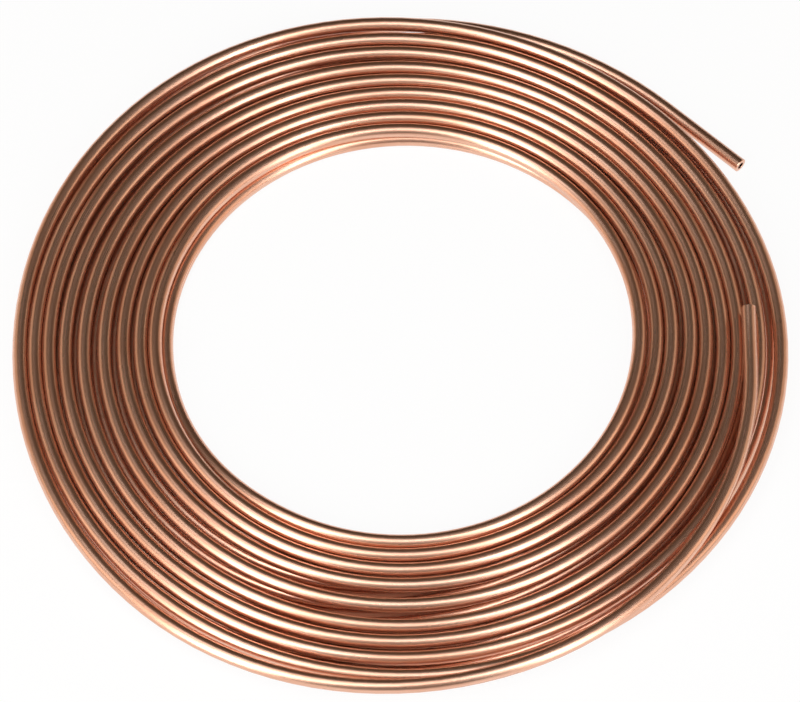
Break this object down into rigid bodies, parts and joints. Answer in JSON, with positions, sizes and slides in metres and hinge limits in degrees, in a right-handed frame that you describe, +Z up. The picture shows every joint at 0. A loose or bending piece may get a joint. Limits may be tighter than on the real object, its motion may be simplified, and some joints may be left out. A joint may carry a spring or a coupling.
{
  "type": "copper tube coil",
  "caption": "Flat coil of soft-drawn round copper tube, wound in two layers around an open eye, with both cut ends free at its outer edge.",
  "frame": {"origin": "on the coil's axis, at the level of the floor that it lies on", "axes": "+Z up along the coil's axis; +Y to the back of the pictured view and +X to its right"},
  "size_m": [0.339, 0.3418, 0.0189],
  "materials": {
    "copper": "satin drawn copper, unlacquered"
  },
  "bodies": {
    "root": {"copper_tube": "copper"}
  },
  "joints": []
}
